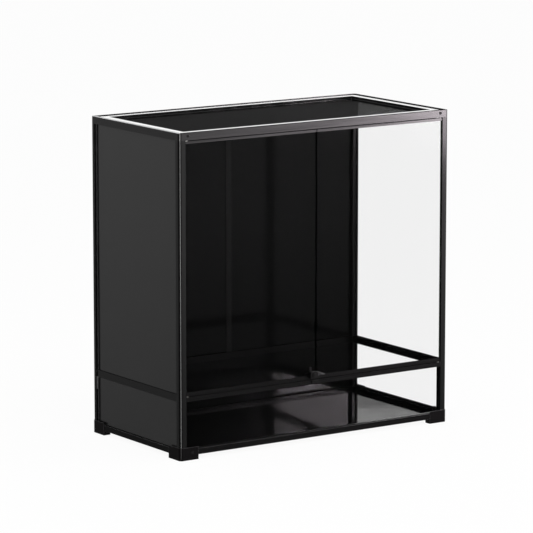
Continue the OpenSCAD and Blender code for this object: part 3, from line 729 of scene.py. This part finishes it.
def gate_grip():
    """Ribs low on the gate's outer face, for a fingertip."""
    low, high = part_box("cable_gate")
    mesh = grow(rib_tree(), bpy.data.meshes.new("start"), count=GRIP_RIBS,
                pitch=GRIP_PITCH_MM * MM, width=(high.y - low.y) * GRIP_SHARE,
                rib=GRIP_RIB_MM * MM, material=grey_abs)
    mesh.transform(Matrix.Translation((low.x, (low.y + high.y) / 2, low.z + GRIP_START_MM * MM)))
    put(mesh, "gate_grip", grey_abs, "gate")


gate_grip()


# ---------- floor, light and camera ----------

def seen(tree):
    """1 for rays that show the background: straight, in a reflection or through glass."""
    path = add(tree, "ShaderNodeLightPath")
    total = path.outputs["Is Camera Ray"]
    for name in ("Is Glossy Ray", "Is Transmission Ray"):
        more = add(tree, "ShaderNodeMath", links={0: total, 1: path.outputs[name]},
                   operation="MAXIMUM")
        total = more.outputs["Value"]
    return total


# The share of the floor's own matt surface, which takes the object's shadow.
SHADOW_SHARE = 0.06
# How bright the floor is in the object's gloss up to the first distance, in metres from the
# middle; from the second distance on it is white.
NEAR_GLOW = 0.34
NEAR_M, FAR_M = 0.7, 4.2
FLOOR_M = 60


def pale_floor():
    """A white floor. In the object's gloss it is darker near the object: painted shade, where the
    object's shade lies.
    """
    material, tree = start_material("pale_floor")
    matt = add(tree, "ShaderNodeBsdfDiffuse", {"Color": linear("#f4f4f4")})
    place = add(tree, "ShaderNodeTexCoord")
    reach = add(tree, "ShaderNodeVectorMath", links={0: place.outputs["Object"]}, operation="LENGTH")
    # Painted shade: in reflections the floor darkens towards the object.
    shade = add(tree, "ShaderNodeMapRange", {"From Min": NEAR_M, "From Max": FAR_M,
                                             "To Min": 1 - NEAR_GLOW, "To Max": 0.0},
                {"Value": reach.outputs["Value"]})
    path = add(tree, "ShaderNodeLightPath")
    mirrored = add(tree, "ShaderNodeMath", operation="GREATER_THAN", links={
        0: path.outputs["Is Glossy Ray"], 1: path.outputs["Is Transmission Ray"]})
    loss = add(tree, "ShaderNodeMath", operation="MULTIPLY",
               links={0: shade.outputs["Result"], 1: mirrored.outputs["Value"]})
    level = add(tree, "ShaderNodeMath", {0: 1.0}, {1: loss.outputs["Value"]}, operation="SUBTRACT")
    glow = add(tree, "ShaderNodeEmission", {"Color": WHITE}, {"Strength": level.outputs["Value"]})
    share = add(tree, "ShaderNodeMath", {1: 1 - SHADOW_SHARE}, {0: seen(tree)}, operation="MULTIPLY")
    both = add(tree, "ShaderNodeMixShader", links={"Fac": share.outputs["Value"]})
    tree.links.new(matt.outputs["BSDF"], both.inputs[1])
    tree.links.new(glow.outputs["Emission"], both.inputs[2])
    add(tree, "ShaderNodeOutputMaterial", links={"Surface": both.outputs["Shader"]})
    bpy.ops.mesh.primitive_plane_add(size=FLOOR_M)
    floor = bpy.context.object
    floor.name = "floor"
    floor.data.materials.append(material)


SOFT_LIGHT = 0.7


def surround():
    """A white surround, which gives soft light at a plain level."""
    world = bpy.data.worlds.new("surround")
    world.use_nodes = True
    scene.world = world
    tree = world.node_tree
    tree.nodes.clear()
    strength = add(tree, "ShaderNodeMapRange", {"To Min": SOFT_LIGHT, "To Max": 1.0},
                   {"Value": seen(tree)})
    glow = add(tree, "ShaderNodeBackground", {"Color": WHITE},
               {"Strength": strength.outputs["Result"]})
    add(tree, "ShaderNodeOutputWorld", links={"Surface": glow.outputs["Background"]})


def softbox(name, place, aim, size, power, colour=(1, 1, 1), glossy_only=False):
    """A lit rectangle, or with glossy_only one that shows only in the object's gloss."""
    lamp = bpy.data.lights.new(name, "AREA")
    lamp.shape = "RECTANGLE"
    lamp.size, lamp.size_y = size
    lamp.energy = power
    lamp.color = colour
    box = bpy.data.objects.new(name, lamp)
    scene.collection.objects.link(box)
    box.location = place
    box.rotation_euler = (Vector(aim) - Vector(place)).to_track_quat("-Z", "Y").to_euler()
    box.visible_camera = False
    box.visible_transmission = False
    box.visible_diffuse = not glossy_only


# The cards' middle, near the left front corner's foot, and their floor strip, reach and height.
CARD_CENTRE = Vector((-0.45, -0.22, 0.001))
CARD_START = 0.03
CARD_RADIUS = 0.5
CARD_HEIGHT = 1.5
CARD_STEP_DEG = 5


def card_glow(name, low_glow, high_glow):
    """A glow that runs evenly from the floor to the card's top."""
    material, tree = start_material(name)
    place = add(tree, "ShaderNodeTexCoord")
    split = add(tree, "ShaderNodeSeparateXYZ", links={"Vector": place.outputs["Object"]})
    level = add(tree, "ShaderNodeMapRange", {"From Max": CARD_HEIGHT, "To Min": low_glow,
                                             "To Max": high_glow}, {"Value": split.outputs["Z"]})
    glow = add(tree, "ShaderNodeEmission", {"Color": WHITE}, {"Strength": level.outputs["Result"]})
    add(tree, "ShaderNodeOutputMaterial", links={"Surface": glow.outputs["Emission"]})
    return material


def card_mesh(name, start_deg, stop_deg):
    """A sheet that runs along the floor, away from the corner's foot, and then straight up."""
    form = bmesh.new()
    count = round((stop_deg - start_deg) / CARD_STEP_DEG)
    columns = []
    for i in range(count + 1):
        turn = math.radians(start_deg + (stop_deg - start_deg) * i / count)
        outward = Vector((-math.sin(turn), -math.cos(turn), 0))
        places = [CARD_CENTRE + CARD_START * outward, CARD_CENTRE + CARD_RADIUS * outward]
        places.append(places[1] + Vector((0, 0, CARD_HEIGHT)))
        columns.append([form.verts.new(place) for place in places])
    for left, right in zip(columns, columns[1:]):
        for low in (0, 1):
            form.faces.new([left[low], right[low], right[low + 1], left[low + 1]])
    mesh = bpy.data.meshes.new(name)
    form.to_mesh(mesh)
    form.free()
    return mesh


def card(name, start_deg, stop_deg, low_glow, high_glow):
    """A curved studio card round the left front corner, which shows only in the object's gloss.

    Its ends are turned from -Y towards -X, and its glow is given at the floor and at its top.
    """
    mesh = card_mesh(name, start_deg, stop_deg)
    mesh.materials.append(card_glow(name, low_glow, high_glow))
    board = bpy.data.objects.new(name, mesh)
    scene.collection.objects.link(board)
    board.visible_camera = False
    board.visible_diffuse = False
    board.visible_transmission = False
    board.visible_shadow = False


WARM = (1.0, 0.9, 0.96)


def lamps():
    """Each softbox's place, the point that it faces, its size in metres and its power."""
    softbox("top_softbox", (-0.6, -1.2, 3.2), (0, 0, 0.5), (2.4, 2.4), 40)
    softbox("right_softbox", (1.84, -1.51, 0.76), (0.9, -0.13, 0.76), (0.9, 0.44), 11, WARM)
    # far to the right, so that only the floor panel shows it, by way of the back panel
    softbox("far_softbox", (3.39, -3.65, 1.0), (0.6, 0.4, 0.3), (0.9, 0.8), 190, WARM,
            glossy_only=True)
    softbox("rim_softbox", (2.4, 3.4, 1.6), (0, 0, 0.9), (4.0, 1.4), 18, glossy_only=True)


def cards():
    """Black on the camera's side, with a narrow lit gap that draws the line down the corner."""
    card("dark_card_front", -8, 30, 0.0, 0.0)
    card("lit_gap", 30, 50, 9.0, 14.0)
    card("dark_card_side", 50, 130, 0.0, 0.0)
    card("grey_card_left", 130, 178, 0.22, 0.46)


pale_floor()
surround()
lamps()
cards()

CAMERA_AIM = Vector((-0.0151, 0, 0.4691))
CAMERA_DISTANCE = 10.0138
CAMERA_AZIMUTH = math.radians(-34.3179)
CAMERA_ELEVATION = math.radians(9.8547)
CAMERA_LENS_MM = 237.0
SENSOR_MM = 36
CAMERA_REACH = 100


def photograph_camera():
    """A long lens, aimed as the photograph was taken."""
    lens = bpy.data.cameras.new("camera")
    lens.sensor_width = SENSOR_MM
    lens.lens = CAMERA_LENS_MM
    lens.clip_end = CAMERA_REACH
    camera = bpy.data.objects.new("camera", lens)
    scene.collection.objects.link(camera)
    back = Vector((math.sin(CAMERA_AZIMUTH) * math.cos(CAMERA_ELEVATION),
                   -math.cos(CAMERA_AZIMUTH) * math.cos(CAMERA_ELEVATION),
                   math.sin(CAMERA_ELEVATION)))
    camera.location = CAMERA_AIM + back * CAMERA_DISTANCE
    camera.rotation_euler = (-back).to_track_quat("-Z", "Y").to_euler()
    scene.camera = camera


photograph_camera()
scene.view_settings.view_transform = "Standard"
